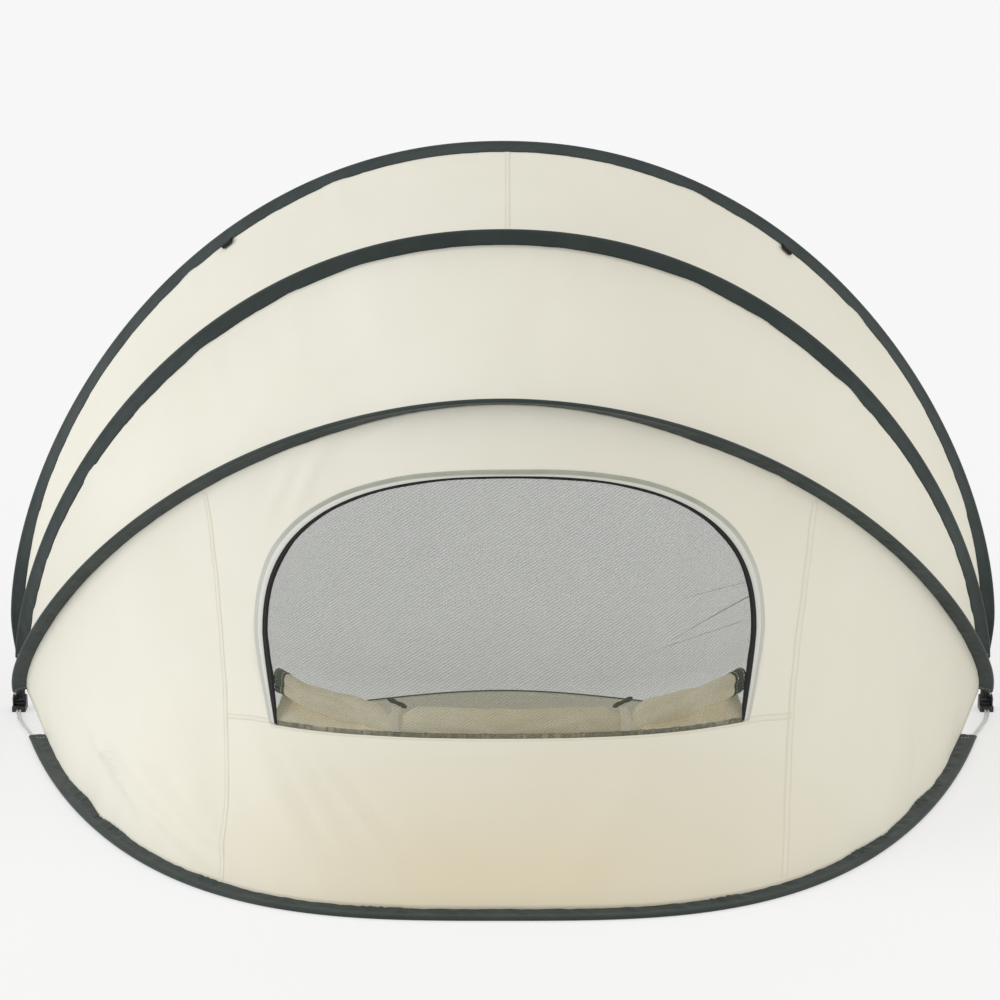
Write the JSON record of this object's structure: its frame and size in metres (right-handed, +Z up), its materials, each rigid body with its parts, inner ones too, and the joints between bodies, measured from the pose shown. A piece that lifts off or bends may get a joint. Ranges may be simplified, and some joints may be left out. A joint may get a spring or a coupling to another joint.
{
  "type": "pop-up beach tent",
  "caption": "Half-dome beach tent: cloth on hoops that fold about hinges over a base ring, with a floor, an open side and a net window with a rolled cover.",
  "frame": {"origin": "on the ground, halfway between the two hinges", "axes": "+X along the hinge line to the right of the window side, +Y out of the open mouth, +Z up; the window faces -Y"},
  "size_m": [2.0222, 1.0743, 1.1808],
  "materials": {
    "tent_cloth": "fine plain weave, matt",
    "sleeve_tape": "dark green-grey folded tape",
    "window_binding": "light grey binding tape",
    "zip_tape": "black woven zip tape and tabs",
    "netting": "grey open net",
    "hinge_plastic": "black moulded plastic",
    "rod_fibre": "pale glass fibre rod",
    "pin_steel": "plain steel"
  },
  "bodies": {
    "base": {"base_rod_inner": "rod_fibre", "base_rod_outer": "rod_fibre", "base_sleeve": "sleeve_tape", "hinge_block_left": "hinge_plastic", "hinge_block_right": "hinge_plastic", "hinge_pin_left": "pin_steel", "hinge_pin_right": "pin_steel", "floor": "tent_cloth", "sill_tape": "sleeve_tape", "front_panel": "tent_cloth", "window_net": "netting", "window_zip": "zip_tape", "window_binding": "window_binding", "cover_roll": "tent_cloth", "cover_tie_left": "tent_cloth", "cover_tie_right": "tent_cloth", "cover_toggle_left": "hinge_plastic", "cover_toggle_right": "hinge_plastic"},
    "front_hoop": {"front_hoop_rod": "rod_fibre", "front_hoop_sleeve": "sleeve_tape", "front_rod_end_left": "hinge_plastic", "front_rod_end_right": "hinge_plastic", "middle_panel": "tent_cloth"},
    "middle_hoop": {"middle_hoop_rod": "rod_fibre", "middle_hoop_sleeve": "sleeve_tape", "middle_rod_end_left": "hinge_plastic", "middle_rod_end_right": "hinge_plastic", "rear_panel": "tent_cloth"},
    "rear_hoop": {"rear_hoop_rod": "rod_fibre", "rear_hoop_sleeve": "sleeve_tape", "rear_rod_end_left": "hinge_plastic", "rear_rod_end_right": "hinge_plastic", "guy_tab_left": "zip_tape", "guy_tab_right": "zip_tape"}
  },
  "joints": [
    {"name": "front_hoop_fold", "type": "hinge", "parent": "base", "child": "front_hoop", "pos_m": [0, 0, 0.02], "axis": [1, 0, 0], "range_deg": [0, 43.7], "stiffness_Nm_per_rad": 12, "springref_deg": -34.38, "deforming": ["front_panel", "window_net", "window_zip", "window_binding", "cover_roll", "cover_tie_left", "cover_tie_right", "cover_toggle_left", "cover_toggle_right"]},
    {"name": "middle_hoop_fold", "type": "hinge", "parent": "front_hoop", "child": "middle_hoop", "pos_m": [0, 0, 0.02], "axis": [1, 0, 0], "range_deg": [0, 13.8], "stiffness_Nm_per_rad": 8, "springref_deg": -28.65, "deforming": ["middle_panel"]},
    {"name": "rear_hoop_fold", "type": "hinge", "parent": "middle_hoop", "child": "rear_hoop", "pos_m": [0, 0, 0.02], "axis": [1, 0, 0], "range_deg": [0, 16], "stiffness_Nm_per_rad": 5, "springref_deg": -22.92, "deforming": ["rear_panel"]}
  ]
}
